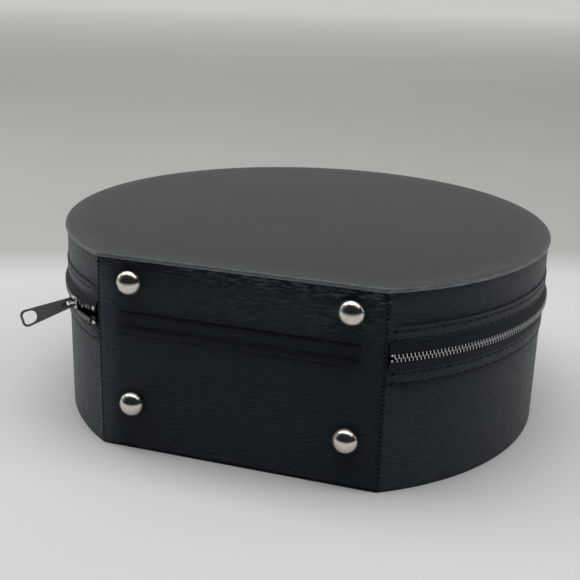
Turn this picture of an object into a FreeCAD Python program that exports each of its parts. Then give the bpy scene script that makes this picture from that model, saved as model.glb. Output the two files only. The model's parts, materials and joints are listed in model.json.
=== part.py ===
import FreeCAD, Part
import math
import os
import re
import Sketcher
from FreeCAD import Placement, Rotation, Vector

# A zip-around hat case: a round, stiffened, leather-covered box with one flat face, a shallow lid
# on a leather hinge at the flat face, four feet on that face and a carrying handle opposite it.
# Origin: centre of the round, on the underside of the base. +Z up, the flat face looks along -Y.

doc = FreeCAD.newDocument("HatCase")

# Driving dimensions, in mm and degrees.
dimensions = [
    ("round_radius", 200.0),
    ("flat_distance", 168.0),
    ("corner_radius", 7.0),
    ("total_height", 155.0),
    ("split_height", 105.0),
    ("half_seam", 0.2),
    ("zip_window", 20.0),
    ("leather", 1.2),
    ("board", 3.0),
    ("lining", 0.8),
    ("rim_proud", 1.5),
    ("rim_drop", 5.0),
    ("panel_wrap", 1.6),
    ("strip_thickness", 1.0),
    ("strip_width", 12.0),
    ("tape_thickness", 0.8),
    ("teeth_depth", 2.8),
    ("teeth_height", 2.7),
    ("zip_half_angle", 146.2),
    ("stop_angle", 0.8),
    ("foot_radius", 10.2),
    ("dome_radius", 8.9),
    ("foot_flange", 1.4),
    ("foot_height", 8.0),
    ("foot_spread", 84.0),
    ("lower_foot_height", 37.0),
    ("upper_foot_height", 134.0),
    ("washer_radius", 7.0),
    ("washer_thickness", 1.0),
    ("slider_angle", 226.0),
    ("slider_length", 12.0),
    ("slider_width", 9.6),
    ("slider_plate", 1.4),
    ("slider_front_gap", 0.8),
    ("slider_back_gap", 0.6),
    ("bail_length", 8.4),
    ("bail_width", 1.6),
    ("bail_height", 4.4),
    ("bail_wire", 1.2),
    ("tab_pivot", 1.7),
    ("tab_length", 42.0),
    ("tab_inner_width", 7.6),
    ("tab_outer_width", 14.8),
    ("tab_thickness", 1.2),
    ("tab_end_bar", 0.8),
    ("tab_slot_length", 6.4),
    ("tab_slot_width", 4.0),
    ("tab_hole_length", 9.6),
    ("tab_hole_width", 9.8),
    ("tab_hole_margin", 2.6),
    ("tab_droop", 13.5),
    ("handle_height", 58.0),
    ("handle_offset", 199.0),
    ("handle_lean", 9.0),
    ("handle_spread", 58.0),
    ("strap_width", 15.0),
    ("strap_thickness", 6.0),
    ("strap_drop", 46.0),
    ("strap_hole_slack", 0.2),
    ("grip_depth", 13.0),
    ("ring_wire", 1.6),
    ("ring_half_width", 10.0),
    ("ring_length", 14.0),
    ("ring_clearance", 0.4),
    ("chape_width", 13.0),
    ("chape_drop", 20.0),
    ("chape_rise", 6.0),
    ("chape_thickness", 1.6),
    ("chape_web", 3.2),
    ("rivet_radius", 3.2),
    ("rivet_height", 1.4),
    ("rivet_drop", 13.0),
    ("backing_half_width", 75.0),
    ("backing_height", 30.0),
    ("backing_thickness", 1.0),
]
sheet = doc.addObject("Spreadsheet::Sheet", "Dims")
for row, (alias, value) in enumerate(dimensions, start=1):
    sheet.set("A%d" % row, alias.replace("_", " "))
    sheet.set("B%d" % row, str(value))
    sheet.setAlias("B%d" % row, alias)
doc.recompute()
size = dict(dimensions)
scratchCell = "D1"
nodes = []


def reference(text):
    """The same sum, with each alias written as a reference to its cell."""
    return re.sub(r"[a-z][a-z_]+", lambda word: "Dims." + word.group(0), text)


def amount(text):
    """The value of a sum on the sheet's cells, worked out by the sheet."""
    sheet.set(scratchCell, "=" + text)
    sheet.recompute()
    return float(sheet.get(scratchCell))


def bind(thing, path, text):
    thing.setExpression(path, reference(text))


def keep(name, thing):
    thing.Label = name
    nodes.append(thing)
    return thing


# ---- sketches and pads

def newSketch(body, role, lift):
    plane = [part for part in body.Origin.OriginFeatures if part.Role == role][0]
    sketch = body.newObject("Sketcher::SketchObject", body.Name + "Sketch")
    sketch.AttachmentSupport = (plane, [""])
    sketch.MapMode = "FlatFace"
    bind(sketch, "AttachmentOffset.Base.z", lift)
    return sketch


def newPad(body, sketch, length, midplane=False):
    pad = body.newObject("PartDesign::Pad", body.Name + "Pad")
    pad.Profile = sketch
    pad.Midplane = midplane
    bind(pad, "Length", length)
    body.Tip = pad
    return pad


def newBody(name):
    return doc.addObject("PartDesign::Body", name)


def addOutline(sketch, inset):
    """The case's plan outline, moved inwards: the round, the flat and two tangent corner arcs."""
    away = amount(inset)
    radius = size["round_radius"] - away
    flat = size["flat_distance"] - away
    corner = size["corner_radius"] - away
    across = math.sqrt((radius - corner) ** 2 - (flat - corner) ** 2)
    turn = math.atan2(flat - corner, across)
    up = Vector(0, 0, 1)
    first = sketch.GeometryCount
    rim, leftArc, flatLine, rightArc = range(first, first + 4)
    sketch.addGeometry([
        Part.ArcOfCircle(Part.Circle(Vector(0, 0, 0), up, radius), -turn, math.pi + turn),
        Part.ArcOfCircle(Part.Circle(Vector(-across, corner - flat, 0), up, corner),
                         math.pi + turn, 1.5 * math.pi),
        Part.LineSegment(Vector(-across, -flat, 0), Vector(across, -flat, 0)),
        Part.ArcOfCircle(Part.Circle(Vector(across, corner - flat, 0), up, corner),
                         1.5 * math.pi, 2 * math.pi - turn),
    ], False)
    for one, end, other, start in ((rim, 2, leftArc, 1), (leftArc, 2, flatLine, 1),
                                   (flatLine, 2, rightArc, 1), (rightArc, 2, rim, 1)):
        sketch.addConstraint(Sketcher.Constraint("Tangent", one, end, other, start))
    sketch.addConstraint(Sketcher.Constraint("Coincident", rim, 3, -1, 1))
    sketch.addConstraint(Sketcher.Constraint("Horizontal", flatLine))
    sketch.addConstraint(Sketcher.Constraint("Equal", leftArc, rightArc))
    sizes = (("Radius", (rim,), "round_radius", radius),
             ("Radius", (leftArc,), "corner_radius", corner),
             ("DistanceY", (flatLine, 1, -1, 1), "flat_distance", flat))
    for kind, target, alias, value in sizes:
        number = sketch.addConstraint(Sketcher.Constraint(kind, *target, value))
        bind(sketch, "Constraints[%d]" % number, "%s - (%s)" % (alias, inset))


def addPolygon(sketch, corners):
    """A closed polygon whose corners are pairs of sums of aliases."""
    first = sketch.GeometryCount
    points = [Vector(amount(x), amount(y), 0) for x, y in corners]
    count = len(points)
    for number in range(count):
        sketch.addGeometry(Part.LineSegment(points[number], points[(number + 1) % count]), False)
    for number in range(count):
        line = first + number
        after = first + (number + 1) % count
        sketch.addConstraint(Sketcher.Constraint("Coincident", line, 2, after, 1))
    for number, (point, texts) in enumerate(zip(points, corners)):
        for kind, value, text in (("DistanceX", point.x, texts[0]), ("DistanceY", point.y, texts[1])):
            mark = sketch.addConstraint(Sketcher.Constraint(kind, first + number, 1, value))
            bind(sketch, "Constraints[%d]" % mark, text)


def rectangle(left, low, right, high):
    return ((left, low), (right, low), (right, high), (left, high))


def plate(name, inset, low, thickness):
    """A flat sheet in the shape of the plan outline."""
    body = newBody(name + "_body")
    sketch = newSketch(body, "XY_Plane", low)
    addOutline(sketch, inset)
    newPad(body, sketch, thickness)
    return body


def wall(name, outside, inside, low, height):
    """An upright wall that follows the plan outline."""
    body = newBody(name + "_body")
    sketch = newSketch(body, "XY_Plane", low)
    addOutline(sketch, outside)
    addOutline(sketch, inside)
    newPad(body, sketch, height)
    return body


# ---- primitives and booleans

def newBox(name, low, high):
    box = doc.addObject("Part::Box", name)
    for side, axis, start, end in zip(("Length", "Width", "Height"), "xyz", low, high):
        bind(box, side, "(%s) - (%s)" % (end, start))
        bind(box, "Placement.Base." + axis, start)
    return box


def newRod(name, radius, length, middle, axis):
    """A cylinder centred on a point, along X, Y or Z."""
    rod = doc.addObject("Part::Cylinder", name)
    bind(rod, "Radius", radius)
    bind(rod, "Height", length)
    turns = {"x": Rotation(Vector(0, 1, 0), 90), "y": Rotation(Vector(1, 0, 0), -90), "z": Rotation()}
    rod.Placement = Placement(Vector(0, 0, 0), turns[axis])
    for name_, text in zip("xyz", middle):
        back = " - (%s) / 2" % length if name_ == axis else ""
        bind(rod, "Placement.Base." + name_, "(%s)%s" % (text, back))
    return rod


def cut(name, base, tool):
    result = doc.addObject("Part::Cut", name)
    result.Base = base
    result.Tool = tool
    return result


def common(name, base, tool):
    result = doc.addObject("Part::Common", name)
    result.Base = base
    result.Tool = tool
    return result


def fuse(name, shapes):
    result = doc.addObject("Part::MultiFuse", name)
    result.Shapes = shapes
    return result


def group(name, links):
    result = doc.addObject("Part::Compound", name)
    result.Links = links
    return result


def band(name, inner, outer, low, height, start, sweep):
    """Part of an upright cylindrical wall, from a start angle through a sweep, both in degrees."""
    sector = doc.addObject("Part::Cylinder", name + "_sector")
    bind(sector, "Radius", outer)
    bind(sector, "Height", height)
    bind(sector, "Angle", sweep)
    bind(sector, "Placement.Base.z", low)
    bind(sector, "Placement.Rotation.Angle", start)
    core = doc.addObject("Part::Cylinder", name + "_core")
    bind(core, "Radius", inner)
    bind(core, "Height", "(%s) + 2" % height)
    bind(core, "Placement.Base.z", "(%s) - 1" % low)
    return cut(name, sector, core)


# ---- shared levels

windowLow = "split_height - zip_window / 2"
windowHigh = "split_height + zip_window / 2"
boardIn = "leather + board"
liningIn = "leather + board + lining"

# Everything in front of this block's back face belongs to the front panel.
flatBlock = newBox("flat_block",
                   ("-2 * round_radius", "-1 * flat_distance - 10", "-10"),
                   ("2 * round_radius", "panel_wrap - flat_distance", "total_height + 10"))


# ---- covers: leather skins over the boards

def makeCovers():
    keep("bottom_cover", plate("bottom_cover", "0", "0", "leather"))
    low = "leather"
    high = windowLow
    skin = wall("base_skin", "0", "leather", low, "(%s) - (%s)" % (high, low))
    keep("base_side_cover", cut("base_side_cover_cut", skin, flatBlock))
    high = "split_height - half_seam"
    skin = wall("base_flat_skin", "0", "leather", low, "(%s) - (%s)" % (high, low))
    keep("front_panel_base", common("front_panel_base_cut", skin, flatBlock))

    roof = "total_height - leather"
    low = windowHigh
    skin = wall("lid_skin", "0", "leather", low, "(%s) - (%s)" % (roof, low))
    keep("lid_side_cover", cut("lid_side_cover_cut", skin, flatBlock))
    low = "split_height + half_seam"
    skin = wall("lid_flat_skin", "0", "leather", low, "(%s) - (%s)" % (roof, low))
    keep("front_panel_lid", common("front_panel_lid_cut", skin, flatBlock))

    top = plate("top_sheet", "-1 * rim_proud", roof, "leather")
    rim = wall("top_rim", "-1 * rim_proud", "0", "total_height - rim_drop", "rim_drop - leather")
    keep("top_cover", fuse("top_cover_fuse", [top, rim]))


# ---- boards and linings

def makeShells():
    keep("base_floor_board", plate("base_floor_board", "leather", "leather", "board"))
    floorTop = "leather + board"
    keep("base_wall_board", wall("base_wall_board", "leather", boardIn, floorTop,
                                 "(%s) - (%s)" % (windowLow, floorTop)))
    keep("base_floor_lining", plate("base_floor_lining", liningIn, floorTop, "lining"))
    keep("base_wall_lining", wall("base_wall_lining", boardIn, liningIn, floorTop,
                                  "(%s) - (%s)" % (windowLow, floorTop)))

    roof = "total_height - leather - board"
    keep("lid_top_board", plate("lid_top_board", "leather", roof, "board"))
    keep("lid_wall_board", wall("lid_wall_board", "leather", boardIn, windowHigh,
                                "(%s) - (%s)" % (roof, windowHigh)))
    keep("lid_top_lining", plate("lid_top_lining", liningIn, "(%s) - lining" % roof, "lining"))
    keep("lid_wall_lining", wall("lid_wall_lining", boardIn, liningIn, windowHigh,
                                 "(%s) - (%s)" % (roof, windowHigh)))


def makeGusset():
    """The inner half of the hinge: a fabric tape behind the front panel, split at the fold."""
    across = "foot_spread + 10"
    behind = "leather - flat_distance"
    for name, low, high in (("hinge_gusset_base", windowLow, "split_height - half_seam"),
                            ("hinge_gusset_lid", "split_height + half_seam", windowHigh)):
        keep(name, newBox(name + "_box", ("-1 * (%s)" % across, behind, low),
                          (across, "(%s) + lining" % behind, high)))


# ---- zip: strips, tapes, teeth rows and stops, on the round from corner to corner

def makeZip():
    start = "90 - zip_half_angle"
    sweep = "2 * zip_half_angle"
    tapeOut = "round_radius + tape_thickness"
    stripOut = "round_radius + tape_thickness + strip_thickness"
    toothIn = "round_radius + tape_thickness / 2 - teeth_depth / 2"
    toothOut = "round_radius + tape_thickness / 2 + teeth_depth / 2"
    toothSweep = "2 * zip_half_angle - 2 * stop_angle"
    rows = (("lower", "(%s) - strip_width" % windowLow, "(%s) - strip_width + 2" % windowLow,
             "split_height - half_seam - teeth_height", "split_height - half_seam - teeth_height"),
            ("upper", windowHigh, "split_height + half_seam + teeth_height",
             "(%s) + strip_width - 2" % windowHigh, "split_height + half_seam"))
    for row, stripLow, tapeLow, tapeHigh, toothLow in rows:
        keep(row + "_zip_strip", band(row + "_zip_strip_band", tapeOut, stripOut, stripLow,
                                      "strip_width", start, sweep))
        keep(row + "_zip_tape", band(row + "_zip_tape_band", "round_radius", tapeOut, tapeLow,
                                     "(%s) - (%s)" % (tapeHigh, tapeLow), start, sweep))
        keep(row + "_zip_teeth", band(row + "_zip_teeth_band", toothIn, toothOut, toothLow,
                                      "teeth_height", "(%s) + stop_angle" % start, toothSweep))
        ends = [band(row + "_zip_stop_" + side, toothIn, toothOut, toothLow, "teeth_height",
                     angle, "stop_angle * 0.8")
                for side, angle in (("right", start),
                                    ("left", "90 + zip_half_angle - stop_angle * 0.8"))]
        keep(row + "_zip_stops", group(row + "_zip_stops_group", ends))


# ---- feet: domed studs on the flat face, clamped by washers inside it

def makeFoot(name, x, z):
    """One foot, turned about its own axis and set on the flat face."""
    body = newBody(name)
    sketch = newSketch(body, "XY_Plane", "0")
    rim = size["foot_radius"]
    shoulder = size["dome_radius"]
    flange = size["foot_flange"]
    tall = size["foot_height"]
    drop = (tall ** 2 - shoulder ** 2 - flange ** 2) / (2 * (tall - flange))
    dome = tall - drop
    sketch.addGeometry([
        Part.LineSegment(Vector(0, 0, 0), Vector(rim, 0, 0)),
        Part.LineSegment(Vector(rim, 0, 0), Vector(rim, flange, 0)),
        Part.LineSegment(Vector(rim, flange, 0), Vector(shoulder, flange, 0)),
        Part.ArcOfCircle(Part.Circle(Vector(0, drop, 0), Vector(0, 0, 1), dome),
                         math.atan2(flange - drop, shoulder), math.pi / 2),
        Part.LineSegment(Vector(0, tall, 0), Vector(0, 0, 0)),
    ], False)
    for one, end, other, start in ((0, 2, 1, 1), (1, 2, 2, 1), (2, 2, 3, 1), (3, 2, 4, 1), (4, 2, 0, 1)):
        sketch.addConstraint(Sketcher.Constraint("Coincident", one, end, other, start))
    sketch.addConstraint(Sketcher.Constraint("Coincident", 0, 1, -1, 1))
    sketch.addConstraint(Sketcher.Constraint("Horizontal", 0))
    sketch.addConstraint(Sketcher.Constraint("Vertical", 1))
    sketch.addConstraint(Sketcher.Constraint("Horizontal", 2))
    sketch.addConstraint(Sketcher.Constraint("Vertical", 4))
    sketch.addConstraint(Sketcher.Constraint("PointOnObject", 3, 3, -2))
    for kind, target, alias in (("DistanceX", (0, 1, 0, 2), "foot_radius"),
                                ("DistanceY", (1, 1, 1, 2), "foot_flange"),
                                ("DistanceX", (-1, 1, 3, 1), "dome_radius"),
                                ("DistanceY", (-1, 1, 3, 2), "foot_height")):
        number = sketch.addConstraint(Sketcher.Constraint(kind, *target, size[alias]))
        bind(sketch, "Constraints[%d]" % number, alias)
    turned = body.newObject("PartDesign::Revolution", name + "Turned")
    turned.Profile = sketch
    turned.ReferenceAxis = (sketch, ["V_Axis"])
    turned.Angle = 360
    body.Tip = turned
    body.Placement = Placement(Vector(0, 0, 0), Rotation(Vector(0, 0, 1), 180))
    bind(body, "Placement.Base.x", x)
    bind(body, "Placement.Base.y", "-1 * flat_distance")
    bind(body, "Placement.Base.z", z)
    return body


def makeFeet():
    inner = "leather + board + lining - flat_distance"
    for row, height in (("lower", "lower_foot_height"), ("upper", "upper_foot_height")):
        feet = []
        washers = []
        for side, x in (("left", "-1 * foot_spread"), ("right", "foot_spread")):
            feet.append(makeFoot("%s_%s_foot" % (row, side), x, height))
            washers.append(newRod("%s_%s_washer" % (row, side), "washer_radius", "washer_thickness",
                                  (x, "(%s) + washer_thickness / 2" % inner, height), "y"))
        keep(row + "_feet", group(row + "_feet_group", feet))
        keep(row + "_foot_washers", group(row + "_foot_washers_group", washers))


# ---- zip slider and its pull tab

def onZip(body):
    """Turn a body built at +X, level with the chain, to where the slider rests."""
    body.Placement = Placement(Vector(0, 0, 0), Rotation(Vector(0, 0, 1), size["slider_angle"]))
    bind(body, "Placement.Base.z", "split_height")
    bind(body, "Placement.Rotation.Angle", "slider_angle")


def makeSlider():
    toothIn = "round_radius + tape_thickness / 2 - teeth_depth / 2"
    toothOut = "round_radius + tape_thickness / 2 + teeth_depth / 2"
    front = "%s + slider_front_gap" % toothOut
    back = "%s - slider_back_gap" % toothIn
    plates = (("slider_front_plate", front, front + " + slider_plate"),
              ("slider_back_plate", back + " - slider_plate", back))
    for name, near, far in plates:
        body = newBody(name + "_body")
        sketch = newSketch(body, "XY_Plane", "-1 * slider_width / 2")
        addPolygon(sketch, rectangle(near, "-1 * slider_length / 2", far, "slider_length / 2"))
        newPad(body, sketch, "slider_width")
        onZip(body)
        keep(name, body)

    base = front + " + slider_plate"
    top = base + " + bail_height"
    body = newBody("slider_bail_body")
    sketch = newSketch(body, "XY_Plane", "-1 * bail_width / 2")
    half = "bail_length / 2"
    addPolygon(sketch, (
        (base, "-1 * bail_length / 2"), (top, "-1 * bail_length / 2"), (top, half), (base, half),
        (base, half + " - bail_wire"), (top + " - bail_wire", half + " - bail_wire"),
        (top + " - bail_wire", "bail_wire - bail_length / 2"), (base, "bail_wire - bail_length / 2")))
    newPad(body, sketch, "bail_width")
    onZip(body)
    keep("slider_bail", body)


def makePullTab():
    """A tapered tab whose end bar sits under the bail; it sticks out from the zip and droops."""
    body = newBody("pull_tab_body")
    sketch = newSketch(body, "XZ_Plane", "0")
    inner = "tab_inner_width / 2"
    outer = "tab_outer_width / 2"
    chamfer = "2.5"
    addPolygon(sketch, (
        ("-1 * tab_end_bar", "-1 * " + inner), ("tab_slot_length + 2", "-1 * " + inner),
        ("tab_length - " + chamfer, "-1 * " + outer),
        ("tab_length", chamfer + " - " + outer), ("tab_length", outer + " - " + chamfer),
        ("tab_length - " + chamfer, outer), ("tab_slot_length + 2", inner), ("-1 * tab_end_bar", inner)))
    addPolygon(sketch, rectangle("tab_end_bar", "-1 * tab_slot_width / 2",
                                 "tab_slot_length", "tab_slot_width / 2"))
    far = "tab_length - tab_hole_margin"
    near = far + " - tab_hole_length"
    half = "tab_hole_width / 2"
    addPolygon(sketch, ((far, "-1 * " + half), (far, half), (near + " + 3", half), (near, "1.4"),
                        (near, "-1.4"), (near + " + 3", "-1 * " + half)))
    newPad(body, sketch, "tab_thickness", True)
    reach = ("round_radius + tape_thickness / 2 + teeth_depth / 2 + slider_front_gap"
             " + slider_plate + tab_pivot")
    turn = Placement(Vector(0, 0, 0), Rotation(Vector(0, 0, 1), size["slider_angle"]))
    out = Placement(Vector(amount(reach), 0, size["split_height"]), Rotation())
    droop = Placement(Vector(0, 0, 0), Rotation(Vector(0, 1, 0), size["tab_droop"]))
    body.Placement = turn * out * droop
    keep("pull_tab", body)


# ---- carrying handle on the far side: a strap on two rings that turn in riveted chapes

def makeHandle():
    lean = Placement(Vector(0, size["handle_offset"], size["handle_height"]),
                     Rotation(Vector(1, 0, 0), size["handle_lean"]))
    body = newBody("handle_strap_body")
    sketch = newSketch(body, "XZ_Plane", "0")
    outer = "handle_spread + strap_width / 2"
    inner = "handle_spread - strap_width / 2"
    top = "3 - ring_length"
    gripTop = "grip_depth - strap_drop"
    bevel = "8"
    ease = "5"
    right = (("(%s) - %s" % (outer, bevel), "-1 * strap_drop"), (outer, bevel + " - strap_drop"),
             (outer, top), (inner, top), (inner, "(%s) + %s" % (gripTop, ease)),
             ("(%s) - %s" % (inner, ease), gripTop))
    left = tuple(("-1 * (%s)" % x, z) for x, z in reversed(right))
    addPolygon(sketch, right + left)
    newPad(body, sketch, "strap_thickness", True)

    holes = []
    rings = []
    for side, sign in (("left", "-1"), ("right", "1")):
        middle = sign + " * handle_spread"
        holes.append(newRod("strap_hole_" + side, "ring_wire + strap_hole_slack", "strap_width + 2",
                            (middle, "0", "-1 * ring_length"), "x"))
        wires = [newRod("ring_bar_" + side, "ring_wire", "2 * ring_half_width", (middle, "0", "0"), "x"),
                 newRod("ring_foot_" + side, "ring_wire", "2 * ring_half_width",
                        (middle, "0", "-1 * ring_length"), "x")]
        for way, step in (("a", "ring_half_width"), ("b", "-1 * ring_half_width")):
            across = "%s + %s" % (middle, step)
            wires.append(newRod("ring_side_%s_%s" % (side, way), "ring_wire", "ring_length",
                                (across, "0", "-1 * ring_length / 2"), "z"))
            for level, height in (("top", "0"), ("low", "-1 * ring_length")):
                ball = doc.addObject("Part::Sphere", "ring_corner_%s_%s_%s" % (side, way, level))
                bind(ball, "Radius", "ring_wire")
                bind(ball, "Placement.Base.x", across)
                bind(ball, "Placement.Base.z", height)
                wires.append(ball)
        rings.append(fuse("ring_" + side, wires))
    strap = cut("handle_strap_cut", body, group("strap_holes", holes))
    strap.Placement = lean
    keep("handle_strap", strap)
    both = group("handle_rings_group", rings)
    both.Placement = lean
    keep("handle_rings", both)


def makeChapes():
    """Riveted leather loops that hold the rings, and the stiffener behind them inside the wall."""
    low = "handle_height - chape_drop"
    core = doc.addObject("Part::Cylinder", "chape_core")
    bind(core, "Radius", "round_radius")
    bind(core, "Height", "split_height")
    away = math.degrees(math.asin(size["handle_spread"] / size["round_radius"]))
    chapes = []
    rivets = []
    for side, sign in (("left", "-1"), ("right", "1")):
        middle = sign + " * handle_spread"
        start = "%s - chape_width / 2" % middle
        end = "%s + chape_width / 2" % middle
        skin = band("chape_skin_" + side, "round_radius", "round_radius + chape_thickness", low,
                    "chape_drop + chape_rise", "60", "60")
        column = newBox("chape_column_" + side, (start, "0", "0"), (end, "2 * round_radius", "split_height"))
        patch = common("chape_patch_" + side, skin, column)
        web = newBox("chape_web_" + side,
                     (start, "round_radius - 20", "handle_height - chape_web / 2"),
                     (end, "handle_offset", "handle_height + chape_web / 2"))
        tube = newRod("chape_tube_" + side, "ring_wire + ring_clearance + chape_thickness", "chape_width",
                      (middle, "handle_offset", "handle_height"), "x")
        bore = newRod("chape_bore_" + side, "ring_wire + ring_clearance", "chape_width + 2",
                      (middle, "handle_offset", "handle_height"), "x")
        loop = cut("chape_loop_" + side, fuse("chape_" + side, [patch, web, tube]), bore)
        chapes.append(cut("chape_fitted_" + side, loop, core))
        rivet = newRod("chape_rivet_" + side, "rivet_radius", "rivet_height",
                       ("round_radius + chape_thickness + rivet_height / 2", "0",
                        "handle_height - rivet_drop"), "x")
        turned = group("chape_rivet_turned_" + side, [rivet])
        angle = 90 - away if sign == "1" else 90 + away
        turned.Placement = Placement(Vector(0, 0, 0), Rotation(Vector(0, 0, 1), angle))
        rivets.append(turned)
    keep("handle_chapes", group("handle_chapes_group", chapes))
    keep("handle_rivets", group("handle_rivets_group", rivets))

    inside = "round_radius - leather - board - lining"
    skin = band("backing_skin", "(%s) - backing_thickness" % inside, inside,
                low, "backing_height", "60", "60")
    column = newBox("backing_column", ("-1 * backing_half_width", "0", "0"),
                    ("backing_half_width", "2 * round_radius", "split_height"))
    keep("handle_backing", common("handle_backing_cut", skin, column))


# ---- build, check and write

makeCovers()
makeShells()
makeGusset()
makeZip()
makeFeet()
makeSlider()
makePullTab()
makeHandle()
makeChapes()
sheet.clear(scratchCell)
doc.recompute()

for thing in doc.Objects:
    if "Invalid" in thing.State or "Error" in thing.State:
        raise RuntimeError("%s did not compute: %s" % (thing.Label, thing.State))
for node in nodes:
    if node.Shape.isNull() or not node.Shape.isValid() or not node.Shape.Solids:
        raise RuntimeError("%s has no valid solid" % node.Label)

os.makedirs("parts", exist_ok=True)
for node in nodes:
    node.Shape.exportStep("parts/%s.step" % node.Label)
    box = node.Shape.BoundBox
    print("%-22s %2d solids %8.2f cm3   z %6.1f to %6.1f" % (
        node.Label, len(node.Shape.Solids), node.Shape.Volume / 1000, box.ZMin, box.ZMax))
print(len(nodes), "nodes written")
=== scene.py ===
import json
import math

import bpy
from mathutils import Matrix, Vector


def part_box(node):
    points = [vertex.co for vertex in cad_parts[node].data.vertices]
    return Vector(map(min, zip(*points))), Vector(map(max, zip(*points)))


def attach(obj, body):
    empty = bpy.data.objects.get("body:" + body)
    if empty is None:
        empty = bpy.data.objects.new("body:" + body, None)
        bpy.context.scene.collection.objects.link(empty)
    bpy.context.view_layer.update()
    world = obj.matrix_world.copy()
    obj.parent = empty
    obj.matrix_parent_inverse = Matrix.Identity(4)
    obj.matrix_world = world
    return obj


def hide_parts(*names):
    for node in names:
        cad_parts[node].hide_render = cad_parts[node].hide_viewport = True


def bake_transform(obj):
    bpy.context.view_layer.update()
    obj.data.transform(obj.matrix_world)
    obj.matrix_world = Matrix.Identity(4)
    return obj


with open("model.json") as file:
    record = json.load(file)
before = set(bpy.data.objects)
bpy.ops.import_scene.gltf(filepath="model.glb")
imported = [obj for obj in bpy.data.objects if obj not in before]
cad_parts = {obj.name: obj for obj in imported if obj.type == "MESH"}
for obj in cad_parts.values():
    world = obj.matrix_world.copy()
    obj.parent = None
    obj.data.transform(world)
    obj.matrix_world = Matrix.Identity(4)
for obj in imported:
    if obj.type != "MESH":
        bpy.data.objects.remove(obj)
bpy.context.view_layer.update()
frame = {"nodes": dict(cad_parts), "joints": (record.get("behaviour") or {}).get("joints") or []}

# Sizes in metres, read from the frame where the frame holds them
joints = {joint["name"]: joint for joint in frame["joints"]}
roundRadius = round(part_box("bottom_cover")[1].y, 4)
flatY = round(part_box("bottom_cover")[0].y, 4)
splitZ = joints["lid_hinge"]["pos_m"][2]
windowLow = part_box("base_side_cover")[1].z
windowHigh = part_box("lid_side_cover")[0].z
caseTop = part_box("top_cover")[1].z
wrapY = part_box("front_panel_base")[1].y
mm = 0.001
cornerRadius = 7 * mm
cornerY = flatY + cornerRadius
cornerX = math.sqrt((roundRadius - cornerRadius) ** 2 - cornerY ** 2)
tangent = math.atan2(cornerY, cornerX)
sliderAngle = math.radians(226)
zipStart = math.radians(-56.2)
zipEnd = math.pi - zipStart


def deselectAll():
    if bpy.context.object and bpy.context.object.mode != "OBJECT":
        bpy.ops.object.mode_set(mode="OBJECT")
    bpy.ops.object.select_all(action="DESELECT")


def activate(piece):
    deselectAll()
    piece.select_set(True)
    bpy.context.view_layer.objects.active = piece


def named(name):
    piece = bpy.context.object
    piece.name = name
    piece.data.name = name
    return piece


# A new mesh holding one selected vertex, left in edit mode
def startLine(name, first):
    deselectAll()
    bpy.ops.mesh.primitive_plane_add(size=0.01)
    piece = named(name)
    bpy.ops.object.mode_set(mode="EDIT")
    bpy.ops.mesh.select_mode(type="VERT")
    bpy.ops.mesh.select_all(action="SELECT")
    bpy.ops.mesh.merge(type="CENTER")
    bpy.ops.transform.translate(value=first)
    return piece


# A polyline through the points: open, closed as a loop of edges, or filled as a face
def drawLine(name, points, kind="open"):
    points = [Vector(point) for point in points]
    piece = startLine(name, points[0])
    for here, there in zip(points, points[1:]):
        bpy.ops.mesh.extrude_region_move(TRANSFORM_OT_translate={"value": there - here})
    bpy.ops.mesh.select_all(action="SELECT")
    if kind != "open":
        bpy.ops.mesh.edge_face_add()
    if kind == "loop":
        bpy.ops.mesh.delete(type="ONLY_FACE")
        bpy.ops.mesh.select_all(action="SELECT")
    return piece


def turn(middle, angle, steps, axis=(0, 0, 1)):
    bpy.ops.mesh.spin(steps=steps, angle=-angle, center=middle, axis=axis)


def go(way, steps=1):
    for _ in range(steps):
        bpy.ops.mesh.extrude_region_move(TRANSFORM_OT_translate={"value": Vector(way) / steps})


def weld(distance=0.00001):
    bpy.ops.mesh.select_all(action="SELECT")
    bpy.ops.mesh.remove_doubles(threshold=distance)
    bpy.ops.mesh.normals_make_consistent(inside=False)


# Leave edit mode with the piece smoothly shaded and its place in its mesh
def rest(piece, angle=35):
    bpy.ops.object.mode_set(mode="OBJECT")
    activate(piece)
    bpy.ops.object.transform_apply(location=True, rotation=True, scale=True)
    bpy.ops.object.shade_smooth_by_angle(angle=math.radians(angle))
    return piece


# Select the vertices or faces that pass the test, and stay in edit mode
def pick(piece, test, kind="VERT"):
    bpy.ops.object.mode_set(mode="EDIT")
    bpy.ops.mesh.select_mode(type=kind)
    bpy.ops.mesh.select_all(action="DESELECT")
    bpy.ops.object.mode_set(mode="OBJECT")
    mesh = piece.data
    if kind == "VERT":
        for vertex in mesh.vertices:
            vertex.select = test(vertex.co)
    else:
        for face in mesh.polygons:
            face.select = test(face.center)
    bpy.ops.object.mode_set(mode="EDIT")


def push(piece, test, way):
    activate(piece)
    pick(piece, test)
    bpy.ops.transform.translate(value=way)
    bpy.ops.object.mode_set(mode="OBJECT")


# A point of the round, out from its surface by the given distance
def atAngle(angle, out, z):
    return Vector(((roundRadius + out) * math.cos(angle), (roundRadius + out) * math.sin(angle), z))


# A section of (out, height) pairs in mm, stood up at that angle of the round
def sectionAt(angle, section):
    return [atAngle(angle, out * mm, z * mm) for out, z in section]


# A section carried once round the whole outline
def sweepOutline(name, section, kind="loop", flatSteps=1, roundSteps=220):
    cornerTurn = math.pi / 2 + tangent
    piece = drawLine(name, sectionAt(tangent, section), kind)
    turn((0, 0, 0), math.pi - 2 * tangent, roundSteps)
    turn((-cornerX, cornerY, 0), cornerTurn, 6)
    go((2 * cornerX, 0, 0), flatSteps)
    turn((cornerX, cornerY, 0), cornerTurn, 6)
    weld()
    return piece


# A filled section carried along part of the round, closed at both ends
def sweepRound(name, section, start, end, steps):
    piece = drawLine(name, sectionAt(start, section), "face")
    turn((0, 0, 0), end - start, steps)
    weld()
    return rest(piece)


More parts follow.
